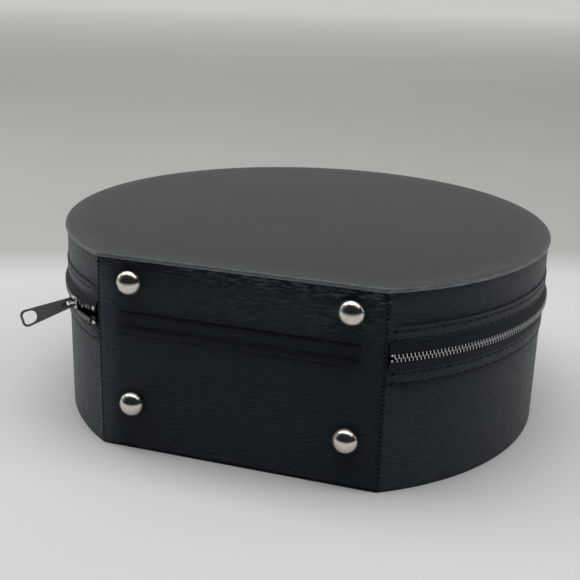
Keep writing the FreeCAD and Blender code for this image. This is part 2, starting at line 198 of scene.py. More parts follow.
# Repeat the piece about the vertical axis of the round
def arrayRound(piece, count, angle):
    deselectAll()
    bpy.ops.object.empty_add(location=(0, 0, 0), rotation=(0, 0, angle))
    pivot = bpy.context.object
    activate(piece)
    bpy.ops.object.modifier_add(type="ARRAY")
    array = piece.modifiers[-1]
    array.count = count
    array.use_relative_offset = False
    array.use_object_offset = True
    array.offset_object = pivot
    bpy.ops.object.modifier_apply(modifier=array.name)
    bpy.data.objects.remove(pivot)


def arrayAlong(piece, count, step):
    activate(piece)
    bpy.ops.object.modifier_add(type="ARRAY")
    array = piece.modifiers[-1]
    array.count = count
    array.use_relative_offset = False
    array.use_constant_offset = True
    array.constant_offset_displace = step
    bpy.ops.object.modifier_apply(modifier=array.name)


def joinAll(name, parts):
    deselectAll()
    for part in parts:
        part.select_set(True)
    bpy.context.view_layer.objects.active = parts[0]
    bpy.ops.object.join()
    return named(name)


# Move the whole mesh by a matrix and leave the object itself unturned at the origin
def place(piece, matrix):
    piece.matrix_world = matrix
    activate(piece)
    bpy.ops.object.transform_apply(location=True, rotation=True, scale=True)
    return piece


# A matrix whose X runs along, whose Z points outward, and whose origin is the given point
def frameAt(origin, along, outward):
    x = Vector(along).normalized()
    z = Vector(outward).normalized()
    y = z.cross(x)
    turned = Matrix((x, y, z)).transposed().to_4x4()
    return Matrix.Translation(origin) @ turned


# Closed outlines, the later ones holes in the first, filled and drawn out with softened edges
def cutSheet(name, outlines, way, soften, steps):
    loops = []
    for outline in outlines:
        loops.append(drawLine(name, outline, "loop"))
        bpy.ops.object.mode_set(mode="OBJECT")
    piece = joinAll(name, loops)
    bpy.ops.object.mode_set(mode="EDIT")
    bpy.ops.mesh.select_all(action="SELECT")
    bpy.ops.mesh.fill(use_beauty=True)
    bpy.ops.mesh.extrude_region_move(TRANSFORM_OT_translate={"value": way})
    bpy.ops.mesh.select_all(action="SELECT")
    bpy.ops.mesh.normals_make_consistent(inside=False)
    bpy.ops.mesh.select_mode(type="EDGE")
    bpy.ops.mesh.select_all(action="DESELECT")
    bpy.ops.mesh.edges_select_sharp(sharpness=math.radians(60))
    bpy.ops.mesh.bevel(offset=soften, segments=steps)
    return piece


def millimetres(points):
    return [tuple(part * mm for part in point) for point in points]


# The outline through the points with each corner rounded, as a list of points in their plane
def roundedCorners(points, radii, steps=6):
    done = []
    count = len(points)
    for number, corner in enumerate(points):
        corner = Vector(corner)
        before = (Vector(points[number - 1]) - corner).normalized()
        after = (Vector(points[(number + 1) % count]) - corner).normalized()
        half = before.angle(after) / 2
        radius = radii[number]
        back = radius / math.tan(half)
        first = corner + before * back
        last = corner + after * back
        middle = corner + (before + after).normalized() * (radius / math.sin(half))
        for step in range(steps + 1):
            spoke = (first - middle).lerp(last - middle, step / steps).normalized() * radius
            done.append((middle + spoke).to_3d())
    return done


def finishPiece(piece, material, body, nodes=()):
    piece.data.materials.clear()
    piece.data.materials.append(material)
    if isinstance(body, str):
        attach(piece, body)
    else:
        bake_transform(piece)
    if nodes:
        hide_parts(*nodes)
    return piece


cool = (0.78, 1.0, 1.24)
blueGloss = (0.74, 0.96, 1.16, 1.0)
plainGloss = (0.88, 1.0, 1.0, 1.0)


# An output in a node tree that takes part in ordinary arithmetic
class Socket:
    def __init__(self, tree, output):
        self.tree = tree
        self.output = output

    def math(self, operation, left, right=None):
        node = self.tree.nodes.new("ShaderNodeMath")
        node.operation = operation
        wire(self.tree, left, node.inputs[0])
        if right is not None:
            wire(self.tree, right, node.inputs[1])
        return Socket(self.tree, node.outputs[0])

    def __add__(self, other):
        return self.math("ADD", self, other)

    def __sub__(self, other):
        return self.math("SUBTRACT", self, other)

    def __mul__(self, other):
        return self.math("MULTIPLY", self, other)

    def sine(self):
        return self.math("SINE", self)


def wire(tree, source, target):
    if isinstance(source, Socket):
        tree.links.new(source.output, target)
    else:
        target.default_value = source


# A material built from nodes on one Principled shader
class Finish:
    def __init__(self, name):
        self.material = bpy.data.materials.new(name)
        self.material.use_nodes = True
        self.tree = self.material.node_tree
        self.shader = self.tree.nodes["Principled BSDF"]
        self.place = self.node("ShaderNodeTexCoord", {}, {}, "Object")

    def node(self, kind, settings, inputs, output=0):
        node = self.tree.nodes.new(kind)
        for name, value in settings.items():
            setattr(node, name, value)
        for name, value in inputs.items():
            wire(self.tree, value, node.inputs[name])
        return Socket(self.tree, node.outputs[output])

    def stretched(self, scale):
        return self.node("ShaderNodeMapping", {}, {"Vector": self.place, "Scale": scale}, "Vector")

    def noise(self, scale, detail=3.0, roughness=0.55):
        inputs = {"Vector": self.stretched(scale), "Scale": 1.0, "Detail": detail, "Roughness": roughness}
        return self.node("ShaderNodeTexNoise", {}, inputs, "Fac")

    def cells(self, scale):
        inputs = {"Vector": self.stretched(scale), "Scale": 1.0}
        return self.node("ShaderNodeTexVoronoi", {"feature": "F1"}, inputs, "Distance")

    def axes(self):
        node = self.tree.nodes.new("ShaderNodeSeparateXYZ")
        wire(self.tree, self.place, node.inputs[0])
        return [Socket(self.tree, output) for output in node.outputs]

    def ramp(self, value, low, high, lowTo, highTo):
        inputs = {"Value": value, "From Min": low, "From Max": high, "To Min": lowTo, "To Max": highTo}
        return self.node("ShaderNodeMapRange", {}, inputs, "Result")

    def blendColors(self, amount, first, second):
        node = self.tree.nodes.new("ShaderNodeMix")
        node.data_type = "RGBA"
        wire(self.tree, amount, node.inputs[0])
        wire(self.tree, first, node.inputs[6])
        wire(self.tree, second, node.inputs[7])
        return Socket(self.tree, node.outputs[2])

    def bump(self, height, strength, distance):
        inputs = {"Height": height, "Strength": strength, "Distance": distance}
        wire(self.tree, self.node("ShaderNodeBump", {}, inputs, "Normal"), self.shader.inputs["Normal"])

    def set(self, **values):
        names = {"color": "Base Color", "roughness": "Roughness", "metallic": "Metallic",
                 "sheen": "Sheen Weight", "glow": "Emission Color"}
        for name, value in values.items():
            wire(self.tree, value, self.shader.inputs[names[name]])


def grey(level, tint=(1.0, 1.0, 1.0)):
    return (level * tint[0], level * tint[1], level * tint[2], 1.0)


# Creased leatherette: fine creases that run across, uneven sheen and a few scuffs
def leatherFinish(name, level, tint, across, rough, relief, specular, gloss, rimHighlightPaint=None, panelHighlightPaint=None):
    finish = Finish(name)
    creases = finish.noise(across, 5.0, 0.62)
    broad = finish.noise((18, 18, 22), 2.0)
    pores = finish.cells((1700, 1700, 2100))
    scuffs = finish.noise((160, 160, 900), 4.0, 0.7)
    sharp = finish.ramp(creases, 0.36, 0.66, 0.0, 1.0)
    finish.bump(sharp + pores * 0.1 + broad * 0.4, relief, 0.0022)
    finish.shader.inputs["Specular IOR Level"].default_value = specular
    finish.shader.inputs["Specular Tint"].default_value = gloss
    tone = finish.ramp(broad * 0.25 + creases * 0.75, 0.4, 0.64, 0.0, 1.0)
    wearAndPaintedHighlight = finish.ramp(scuffs, 0.6, 0.78, 0.0, 0.5)
    base = finish.blendColors(tone, grey(level * 0.3, tint), grey(level * 2.4, tint))
    color = finish.blendColors(wearAndPaintedHighlight, base, grey(level * 3.0, tint))
    # Painted highlights: on the rim of the top and on the front panel, where asked for
    if rimHighlightPaint:
        color = paintRimHighlight(finish, color, scuffs, tint, rimHighlightPaint)
    if panelHighlightPaint:
        color = paintPanelHighlights(finish, color, creases, tint, panelHighlightPaint)
    uneven = finish.ramp(creases * 0.6 + broad * 0.4, 0.25, 0.75, rough - 0.07, rough + 0.09)
    finish.set(color=color, roughness=uneven + wearAndPaintedHighlight * 0.1)
    return finish.material


# The rim gets a painted highlight: its colour is painted paler, most at its foot and in patches, and the
# top is left as it is
def paintRimHighlight(finish, color, scuffs, tint, rimHighlightPaint):
    x, y, z = finish.axes()
    foot = finish.ramp(z, rimHighlightPaint["low"], rimHighlightPaint["middle"], 0.0, 1.0)
    fade = finish.ramp(z, rimHighlightPaint["middle"], rimHighlightPaint["high"], 1.0, 0.16)
    belowTop = finish.ramp(z, rimHighlightPaint["high"], rimHighlightPaint["high"] + 0.0004, 1.0, 0.0)
    patchy = finish.ramp(scuffs, 0.3, 0.62, 0.25, 1.0)
    return finish.blendColors(foot * fade * belowTop * patchy, color, grey(rimHighlightPaint["level"], tint))


# Painted highlights: crease streaks are painted paler as glints in a band just below the rim and lower
# down, more to the right, and the left corner is painted paler as a soft highlight
def paintPanelHighlights(finish, color, creases, tint, panelHighlightPaint):
    x, y, z = finish.axes()
    toRight = finish.ramp(x, -0.06, 0.05, 0.25, 1.0)
    edge = finish.ramp(z, panelHighlightPaint["edge"], panelHighlightPaint["edge"] + 0.004, 0.0, 1.0)
    below = finish.ramp(z, 0.108, 0.128, 0.0, 0.34)
    streaks = finish.ramp(creases, 0.46, 0.64, 0.0, 1.0)
    color = finish.blendColors((edge + below) * toRight * streaks, color, grey(panelHighlightPaint["glintPaintLevel"], tint))
    # The left corner's painted highlight, paler on the crease streaks
    corner = finish.ramp(x, panelHighlightPaint["corner"], panelHighlightPaint["corner"] + 0.0145, 1.0, 0.0)
    wearAndPaintedHighlight = finish.blendColors(streaks, grey(0.05, tint), grey(0.09, tint))
    return finish.blendColors(corner, color, wearAndPaintedHighlight)


# Plated metal with fine polishing lines, smudges and slight tarnish
def metalFinish(name, color, rough, grain, spread=0.06):
    finish = Finish(name)
    smudges = finish.noise((260, 260, 260), 3.0)
    lines = finish.noise(grain, 4.0, 0.6)
    finish.bump(lines, 0.06, 0.0004)
    stained = finish.ramp(smudges, 0.35, 0.8, 0.0, 0.5)
    dull = tuple(part * 0.72 for part in color[:3]) + (1.0,)
    finish.set(color=finish.blendColors(stained, color, dull), metallic=1.0,
               roughness=finish.ramp(smudges * 0.5 + lines * 0.5, 0.3, 0.7, rough, rough + spread))
    return finish.material


# Woven cloth: threads along the round or the flat crossed by upright threads
def clothFinish(name, level, tint, pitch, curved=True, sheen=0.2, gloss=(1.0, 1.0, 1.0, 1.0)):
    finish = Finish(name)
    finish.shader.inputs["Specular IOR Level"].default_value = 0.25
    x, y, z = finish.axes()
    along = x.math("ARCTAN2", y, x) * roundRadius if curved else x
    warp = (along * (2 * math.pi / pitch)).sine()
    weft = ((z if curved else y) * (2 * math.pi / pitch)).sine()
    weave = warp * weft
    fuzz = finish.noise((900, 900, 900), 3.0)
    finish.shader.inputs["Specular Tint"].default_value = gloss
    finish.bump(weave * 0.5 + fuzz * 0.6, 0.5, 0.0003)
    tone = finish.ramp(weave * 0.25 + fuzz, 0.2, 0.8, 0.0, 1.0)
    finish.set(color=finish.blendColors(tone, grey(level * 0.6, tint), grey(level * 1.4, tint)),
               roughness=finish.ramp(fuzz, 0.3, 0.7, 0.72, 0.88), sheen=sheen)
    return finish.material


def boardFinish(name):
    finish = Finish(name)
    fibres = finish.noise((240, 240, 420), 6.0, 0.75)
    specks = finish.noise((1300, 1300, 1300), 2.0)
    finish.bump(fibres, 0.4, 0.0004)
    tone = finish.ramp(fibres * 0.7 + specks * 0.3, 0.3, 0.7, 0.0, 1.0)
    finish.set(color=finish.blendColors(tone, (0.13, 0.105, 0.078, 1.0), (0.24, 0.205, 0.16, 1.0)),
               roughness=finish.ramp(fibres, 0.3, 0.7, 0.82, 0.95))
    return finish.material


def threadFinish(name, level, specular):
    finish = Finish(name)
    finish.shader.inputs["Specular IOR Level"].default_value = specular
    finish.shader.inputs["Specular Tint"].default_value = blueGloss
    x, y, z = finish.axes()
    twist = ((x + y) * 5200 + z * 5200).sine()
    fuzz = finish.noise((2200, 2200, 2200), 2.0)
    finish.bump(twist * 0.5 + fuzz * 0.4, 0.5, 0.00015)
    tone = finish.ramp(twist * 0.3 + fuzz, 0.1, 1.0, 0.0, 1.0)
    finish.set(color=finish.blendColors(tone, grey(level * 0.6), grey(level * 1.8)),
               roughness=finish.ramp(fuzz, 0.3, 0.7, 0.42, 0.6))
    return finish.material


sideLook = {"level": 0.0085, "tint": cool, "across": (130, 130, 560), "rough": 0.36, "relief": 0.8,
            "specular": 0.40, "gloss": blueGloss}
# The panel is the sides' leather at about half the level, painted shade for the side that faces the dim
# camera side; its last entry paints glints and a corner highlight
panelLook = {"level": 0.0045, "tint": cool, "across": (130, 130, 560), "rough": 0.30, "relief": 0.9,
             "specular": 0.32, "gloss": blueGloss,
             "panelHighlightPaint": {"edge": 0.1425, "glintPaintLevel": 0.14, "corner": -0.1075}}
# The top's rim entry paints a highlight band onto the rim
topLook = {"level": 0.011, "tint": (0.92, 1.0, 1.03), "across": (520, 520, 520), "rough": 0.38,
           "relief": 0.12, "specular": 0.5, "gloss": plainGloss,
           "rimHighlightPaint": {"low": 0.1514, "middle": 0.1520, "high": 0.1549, "level": 0.28}}
stripLook = {"level": 0.0085, "tint": cool, "across": (150, 150, 620), "rough": 0.37, "relief": 0.7,
             "specular": 0.40, "gloss": blueGloss}
handleLook = {"level": 0.010, "tint": cool, "across": (600, 600, 600), "rough": 0.38, "relief": 0.35,
              "specular": 0.45, "gloss": blueGloss}
sideLeather = leatherFinish("sideLeather", **sideLook)
panelLeather = leatherFinish("panelLeather", **panelLook)
topLeather = leatherFinish("topLeather", **topLook)
stripLeather = leatherFinish("stripLeather", **stripLook)
handleLeather = leatherFinish("handleLeather", **handleLook)
blackThread = threadFinish("blackThread", 0.016, 0.5)
# Near-black, painted shade for the stitch holes
holeShade = threadFinish("holeShade", 0.0012, 0.04)
tapeCloth = clothFinish("tapeCloth", 0.009, cool, 1.1 * mm, True, 0.06, blueGloss)
liningCloth = clothFinish("liningCloth", 0.055, (1.0, 0.93, 0.86), 0.9 * mm)
floorCloth = clothFinish("floorCloth", 0.055, (1.0, 0.93, 0.86), 0.9 * mm, False)
hingeCloth = clothFinish("hingeCloth", 0.03, (1.0, 0.95, 0.9), 0.8 * mm, False)
greyBoard = boardFinish("greyBoard")
chainMetal = metalFinish("chainMetal", (0.74, 0.74, 0.73, 1.0), 0.22, (800, 800, 5200))
gunMetal = metalFinish("gunMetal", (0.10, 0.10, 0.105, 1.0), 0.26, (700, 700, 4200))
footMetal = metalFinish("footMetal", (0.70, 0.66, 0.60, 1.0), 0.15, (1500, 300, 1500), 0.07)
nickelMetal = metalFinish("nickelMetal", (0.62, 0.62, 0.61, 1.0), 0.2, (700, 700, 4200))
steelMetal = metalFinish("steelMetal", (0.56, 0.55, 0.53, 1.0), 0.2, (2400, 2400, 900))
print("materials made")


topCoverSizes = {"out": 1.5, "radius": 2.7, "rimLow": 151.5, "edge": -6.5}


def makeTopCover():
    sizes = topCoverSizes
    radius = sizes["radius"]
    top = caseTop / mm
    bend = [(sizes["out"] - radius + radius * math.cos(step * math.pi / 12),
             top - radius + radius * math.sin(step * math.pi / 12)) for step in range(7)]
    section = [(sizes["edge"], top - 1.2), (-0.1, top - 1.2), (-0.1, sizes["rimLow"] + 0.1),
               (0.9, sizes["rimLow"] - 0.1), (1.35, sizes["rimLow"] + 0.2)] + bend
    section += [(-2.5, top + 0.05), (sizes["edge"], top + 0.12)]
    piece = sweepOutline("topCover", section, "open", 40)
    inside = sizes["edge"] * mm * 0.8
    limit = roundRadius + inside

    def innerLoop(low, high):
        return lambda at: low < at.z < high and at.y > flatY - inside * 0.9 and at.xy.length < limit
    pick(piece, innerLoop(caseTop, caseTop + 0.001))
    for size, lift in ((0.93, 0.2), (0.8, 0.25), (0.6, 0.2), (0.3, 0.1)):
        bpy.ops.mesh.extrude_region_move(TRANSFORM_OT_translate={"value": (0, 0, lift * mm)})
        bpy.ops.transform.resize(value=(size, size, 1), center_override=(0, 0.01, 0))
    bpy.ops.mesh.edge_face_add()
    pick(piece, innerLoop(caseTop - 0.0013, caseTop - 0.0011))
    bpy.ops.mesh.edge_face_add()
    weld()
    rest(piece)
    finishPiece(piece, topLeather, "lid", ["top_cover"])


def makeSideCovers():
    low = windowLow / mm
    high = windowHigh / mm
    start = math.atan2(wrapY, math.sqrt(roundRadius ** 2 - wrapY ** 2))
    end = math.pi - start
    section = [(-1.2, 1.2), (-0.5, 1.0), (-0.05, 1.4), (0, 2.2), (0, low + 0.2), (-0.4, low + 0.8),
               (-4.9, low + 0.9), (-5.6, low + 0.4), (-5.6, low - 6), (-5.05, low - 6),
               (-5.0, low + 0.05), (-1.2, low + 0.05)]
    piece = sweepRound("baseSideCover", section, start, end, 220)
    finishPiece(piece, sideLeather, "base", ["base_side_cover"])
    section = [(-1.2, 153.7), (0, 153.7), (0, high - 0.2), (-0.4, high - 0.8), (-4.9, high - 0.9),
               (-5.6, high - 0.4), (-5.6, high + 6), (-5.05, high + 6), (-5.0, high - 0.05),
               (-1.2, high - 0.05)]
    piece = sweepRound("lidSideCover", section, start, end, 220)
    finishPiece(piece, sideLeather, "lid", ["lid_side_cover"])


def makeBottomCover():
    section = [(-6.5, 1.2), (-0.1, 1.2), (0, 0.7), (-0.3, 0.15), (-1.0, 0), (-6.5, 0)]
    piece = sweepOutline("bottomCover", section, "open")
    for height in (1.2 * mm, 0.0):
        pick(piece, lambda at: abs(at.z - height) < 1e-5 and at.xy.length < roundRadius - 6 * mm
             and at.y > flatY + 6 * mm)
        bpy.ops.mesh.edge_face_add()
    weld()
    rest(piece)
    finishPiece(piece, sideLeather, "base", ["bottom_cover"])


# Each foot is a short edge round a cap cut from a larger ball
footSizes = {"radius": 10.2, "tall": 8.0, "capRadius": 10.9, "capReach": 9.7, "steps": 12,
             "dents": (13.2, 11.5)}


def footMiddles(node):
    low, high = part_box(node)
    z = (low.z + high.z) / 2
    return [Vector((side * (high.x - footSizes["radius"] * mm), flatY, z)) for side in (-1, 1)]


# The front panel is one sheet from the bottom edge to the rim, creased at the hinge
panelSizes = {"thickness": 1.2, "low": 1.0, "high": 153.7, "hingeLines": (112.2, 95.1),
              "hingeReach": 92.0, "cornerStitches": (24.0, 22.0), "columns": 100,
              "grooves": ((106.4, 107.7), (110.0, 111.5)), "rimLean": 0.12}


# The panel's section: rows close together where it bends, wider apart between
def panelSection():
    sizes = panelSizes
    heights = [sizes["low"], 1.5, 2.5, 4.0]
    heights += [4 + 3.03 * step for step in range(1, 30)]
    heights += [93.5, 94.3, 94.9, 95.5, 96.5, 98.5, 100.5, 102.5, 104, 105, 106, 108, 109.5, 110.5,
                111.1, 111.7, 112.3, 113.2]
    heights += [113.2 + 2.9 * step for step in range(1, 14)] + [152.5, sizes["high"]]
    outer = [(-0.9 if z < 1.2 else -0.25 if z < 2 else 0.0, z) for z in heights]
    inner = [(-sizes["thickness"], z) for z in (153.7, 130, 113, 110, 107, 105, 103, 100, 97, 60, 1.2)]
    return outer + inner


# Two shallow lines with a slight hollow between them, where the panel folds
def creaseHinge(piece, front):
    reach = panelSizes["hingeReach"] * mm
    upper, lower = [line * mm for line in panelSizes["hingeLines"]]

    def onFold(at):
        return abs(at.x) < reach and at.y < front
    for half in (0.7, 0.2):
        push(piece, lambda at: abs(at.z - upper) < half * mm and onFold(at), (0, -0.22 * mm, 0))
    push(piece, lambda at: lower + 2 * mm < at.z < upper - 0.8 * mm and onFold(at), (0, 0.25 * mm, 0))
    for half in (2.0, 1.2, 0.4):
        push(piece, lambda at: abs(at.z - lower) < half * mm and onFold(at), (0, -0.2 * mm, 0))


# The left corner is rounded off, the right one has two raised lines, the rim leans in at the
# ends, and the feet press into the leather
def wearPanel(piece, front):
    activate(piece)
    pick(piece, lambda at: abs(at.x) > 98 * mm and at.y < -166.9 * mm and 2.2 * mm < at.z < 151.6 * mm)
    bpy.ops.mesh.vertices_smooth(factor=0.5, repeat=14, xaxis=True, yaxis=True, zaxis=False)
    bpy.ops.object.mode_set(mode="OBJECT")
    corner = front + 1.2 * mm
    for inside, outside in panelSizes["grooves"]:
        push(piece, lambda at: inside * mm < at.x < outside * mm and at.y < corner
             and at.xy.length > roundRadius - 1.4 * mm, (0.1 * mm, -0.2 * mm, 0))
    for step in range(4):
        push(piece, lambda at: at.z > (142.5 + 2.9 * step) * mm and at.y < corner
             and at.xy.length > 0.17 and -flatY - 0.5 * mm < -at.y,
             (0, panelSizes["rimLean"] * (step + 1) * mm, 0))
    for node in ("lower_feet", "upper_feet"):
        for middle in footMiddles(node):
            foot = Vector((middle.x, 0, middle.z))
            for radius in footSizes["dents"]:
                push(piece, lambda at: at.y < front
                     and (Vector((at.x, 0, at.z)) - foot).length < radius * mm, (0, 0.22 * mm, 0))


def makeFrontPanel():
    start = math.atan2(wrapY, math.sqrt(roundRadius ** 2 - wrapY ** 2))
    cornerTurn = math.pi / 2 + tangent
    piece = drawLine("frontPanel", sectionAt(math.pi - start, panelSection()), "face")
    turn((0, 0, 0), start - tangent, 4)
    turn((-cornerX, cornerY, 0), cornerTurn, 8)
    go((2 * cornerX, 0, 0), panelSizes["columns"])
    turn((cornerX, cornerY, 0), cornerTurn, 8)
    turn((0, 0, 0), start - tangent, 4)
    weld()
    rest(piece)
    front = flatY + 0.6 * mm
    creaseHinge(piece, front)
    wearPanel(piece, front)
    finishPiece(piece, panelLeather, ("base", "lid"),
                ["front_panel_base", "front_panel_lid"])


# Cloth that laps over both inside edges of the flat side and bridges the fold
def makeHingeLining():
    line = [(-162.4, 86), (-162.4, 95.6), (-163.4, 96.3), (-165.6, 96.5), (-166.2, 97.4), (-166.3, 101),
            (-166.3, 105), (-166.3, 109), (-166.2, 112.6), (-165.6, 113.5), (-163.4, 113.7),
            (-162.4, 114.4), (-162.4, 124)]
    piece = drawLine("hingeLining", [(-96 * mm, y * mm, z * mm) for y, z in line])
    go((192 * mm, 0, 0), 24)
    weld()
    bpy.ops.object.mode_set(mode="OBJECT")
    bpy.ops.object.modifier_add(type="SOLIDIFY")
    piece.modifiers[-1].thickness = 0.5 * mm
    piece.modifiers[-1].offset = 0
    bpy.ops.object.modifier_apply(modifier=piece.modifiers[-1].name)
    rest(piece, 50)
    finishPiece(piece, hingeCloth, ("base", "lid"), ["hinge_gusset_base", "hinge_gusset_lid"])


makeTopCover()
makeSideCovers()
makeBottomCover()
makeFrontPanel()
makeHingeLining()
print("covers made")


stitchSizes = {"pitch": 2.7, "cornerPitch": 3.5, "thickness": 0.6, "stripPitch": 7.6,
               "hingeRows": (110.5, 99.9), "stripRows": {"base": (84.6, 92.2), "lid": (123.4, 116.9)}}


# One stitch along X at the origin, humped outward along Z, with its ends dipping in
def makeStitch(name, length, thickness):
    deselectAll()
    bpy.ops.mesh.primitive_cylinder_add(vertices=6, radius=thickness / 2, depth=length * 0.7,
                                        end_fill_type="NGON", rotation=(0, math.pi / 2, 0))
    piece = named(name)
    bpy.ops.object.transform_apply(location=True, rotation=True, scale=True)
    for side in (-1, 1):
        pick(piece, lambda at: abs(at.x - side * length * 0.35) < 1e-5)
        bpy.ops.mesh.extrude_region_move(TRANSFORM_OT_translate={
            "value": (side * length * 0.15, 0, -thickness * 0.35)})
        bpy.ops.transform.resize(value=(1, 0.55, 0.55), center_override=(
            side * length * 0.5, 0, -thickness * 0.35))
    bpy.ops.object.mode_set(mode="OBJECT")
    return rest(piece, 60)


# A flat near-black disc on the leather, painted shade for the dent that a needle hole and a tight thread
# leave
def makeHoleShadeDisc(name, length, width):
    deselectAll()
    bpy.ops.mesh.primitive_uv_sphere_add(segments=10, ring_count=5, radius=1)
    piece = named(name)
    bpy.ops.transform.resize(value=(length / 2, width / 2, 0.06 * mm))
    bpy.ops.object.transform_apply(location=True, rotation=True, scale=True)
    return rest(piece, 60)


def runRound(piece, out, z, start, end, spacing):
    place(piece, frameAt(atAngle(start, out, z), (-math.sin(start), math.cos(start), 0),
                         (math.cos(start), math.sin(start), 0)))
    step = spacing / roundRadius
    arrayRound(piece, int((end - start) / step), step)
    return piece


# Repeat the piece from first to last, each copy shifted on by a share of the spacing
def runLine(piece, first, last, outward, spacing, shift=0.0):
    first = Vector(first)
    way = Vector(last) - first
    count = int(way.length / spacing)
    step = way / count
    place(piece, frameAt(first + step * shift, way, outward))
    arrayAlong(piece, count, step)
    return piece


# How far out the panel's corner lies from the middle of its bend, in that direction
def cornerReach(side, outward):
    middle = Vector((side * cornerX, cornerY, 0))
    reach = cornerRadius
    best = 0.9
    for vertex in bpy.data.objects["frontPanel"].data.vertices:
        spoke = (vertex.co - middle).to_2d().to_3d()
        if 50 * mm < vertex.co.z < 64 * mm and spoke.length > cornerRadius - 1.1 * mm:
            facing = spoke.normalized().dot(outward)
            if facing > best and side * vertex.co.x > 0:
                best = facing
                reach = spoke.length
    return reach


def makePanelStitches():
    pitch = stitchSizes["pitch"] * mm
    cornerPitch = stitchSizes["cornerPitch"] * mm
    thick = stitchSizes["thickness"] * mm
    runs = []
    for side, degrees in zip((-1, 1), panelSizes["cornerStitches"]):
        bend = math.radians(degrees)
        outward = Vector((side * math.sin(bend), -math.cos(bend), 0))
        foot = Vector((side * cornerX, cornerY, 0)) + outward * (cornerReach(side, outward) + 0.06 * mm)
        runs.append((foot + Vector((0, 0, 3.5 * mm)), foot + Vector((0, 0, 149 * mm)), outward, cornerPitch,
                     (1.75 - 0.25 * side) * mm))
    for z in stitchSizes["hingeRows"]:
        first, last = [Vector((side * 91 * mm, flatY - 0.02 * mm, z * mm)) for side in (-1, 1)]
        runs.append((first, last, (0, -1, 0), pitch, 1.4 * mm))
    threads = []
    dents = []
    for first, last, outward, gap, wide in runs:
        threads.append(runLine(makeStitch("thread", gap * 0.6, thick), first, last, outward, gap))
        # A disc of painted shade between each two stitches
        dents.append(runLine(makeHoleShadeDisc("holeShadeDisc", wide, wide), first, last, outward, gap, 0.5))
    finishPiece(joinAll("panelStitches", threads), blackThread, ("base", "lid"))
    finishPiece(joinAll("panelStitchHoleShade", dents), holeShade, ("base", "lid"))


def makeStripStitches():
    pitch = stitchSizes["stripPitch"] * mm
    start = zipStart + 0.02
    end = zipEnd - 0.02
    for body, levels in stitchSizes["stripRows"].items():
        threads = []
        dents = []
        for z in levels:
            thread = makeStitch("thread", 1.9 * mm, 0.45 * mm)
            threads.append(runRound(thread, 0.62 * mm, z * mm, start, end, pitch))
            # A disc of painted shade round each stitch
            holeShadeDisc = makeHoleShadeDisc("holeShadeDisc", 3.2 * mm, 2.4 * mm)
            dents.append(runRound(holeShadeDisc, 0.66 * mm, z * mm, start, end, pitch))
        finishPiece(joinAll(body + "StripStitches", threads), blackThread, body)
        finishPiece(joinAll(body + "StripStitchHoleShade", dents), holeShade, body)


makePanelStitches()
makeStripStitches()
print("stitches made")


# The ends, in degrees, are of the meshed chain and of the open part's start and end
zipSizes = {"pitch": 3.0, "ends": (224.4, 227.7, 234.4), "toothOut": 2.3, "tapeBulge": 2.0}


def makeStrips():
    def section(low, high, grooves):
        outside = [(0.02, low), (0.4, low - 0.05), (0.85, low + 0.25), (1.0, low + 0.8)]
        for z in grooves:
            outside += [(1.02, z - 1.0), (0.62, z - 0.35), (0.62, z + 0.35), (1.02, z + 1.0)]
        outside += [(1.0, high - 0.8), (0.85, high - 0.25), (0.4, high + 0.05), (0.02, high)]
        return outside
    pairs = (("lowerStrip", "base", 83.0, 95.0, (84.6, 92.2), "lower_zip_strip"),
             ("upperStrip", "lid", 115.0, 127.0, (116.9, 123.4), "upper_zip_strip"))
    for name, body, low, high, grooves, node in pairs:
        piece = sweepRound(name, section(low, high, grooves), zipStart, zipEnd, 220)
        for side in (-1, 1):
            for reach, drop in ((0.45, 0.5), (1.6, 0.35)):
                push(piece, lambda at: side * at.x > 60 * mm and at.y < -100 * mm
                     and abs(math.atan2(at.y, abs(at.x)) - zipStart) < math.radians(reach) and at.xy.length
                     > roundRadius + 0.3 * mm, (-side * drop * 0.56 * mm, drop * 0.83 * mm, 0))
        finishPiece(piece, stripLeather, body, [node])


# Each tape runs from behind its strip to the chain and bulges out a little
def makeTapes():
    bulge = zipSizes["tapeBulge"]
    lower = [(-0.7, 88), (-0.7, 93), (0.1, 95), (bulge * 0.6, 98.5), (bulge, 102.0), (bulge, 103.1)]
    upper = [(-0.7, 122), (-0.7, 117), (0.1, 115), (bulge * 0.6, 111.5), (bulge, 108.0), (bulge, 106.9)]
    for name, body, line, node in (("lowerTape", "base", lower, "lower_zip_tape"),
                                   ("upperTape", "lid", upper, "upper_zip_tape")):
        section = line + [(out + 0.55, z) for out, z in reversed(line)]
        piece = sweepRound(name, section, zipStart, zipEnd, 220)
        drop = -5.6 if body == "base" else 1.6
        push(piece, lambda at: at.x < -120 * mm and at.y < -146 * mm and abs(at.z - splitZ) < 3.5 * mm,
             (0, 0, drop * mm))
        finishPiece(piece, tapeCloth, body, [node])


# One tooth at the origin, grown from its foot along Z: way turns it up or down
def makeTooth(name, way):
    deselectAll()
    bpy.ops.mesh.primitive_cube_add(size=1, location=(0, 0, 0))
    piece = named(name)
    bpy.ops.transform.resize(value=(0.56 * mm, 2.2 * mm, 0.9 * mm))
    bpy.ops.object.transform_apply(location=True, rotation=True, scale=True)
    pick(piece, lambda at: at.z > 0.4 * mm, "FACE")
    for rise, wide, deep in ((0.35, 0.8, 0.9), (1.0, 1.0, 1.05), (0.7, 1.6, 1.05), (0.45, 0.85, 0.8)):
        bpy.ops.mesh.extrude_region_move(TRANSFORM_OT_translate={"value": (0, 0, rise * mm)})
        bpy.ops.transform.resize(value=(wide, deep, 1))
    bpy.ops.object.mode_set(mode="OBJECT")
    rest(piece, 40)
    place(piece, Matrix.Scale(way, 4, (0, 0, 1)))
    bpy.ops.object.mode_set(mode="EDIT")
    bpy.ops.mesh.select_all(action="SELECT")
    bpy.ops.mesh.normals_make_consistent(inside=False)
    bpy.ops.object.mode_set(mode="OBJECT")
    return piece


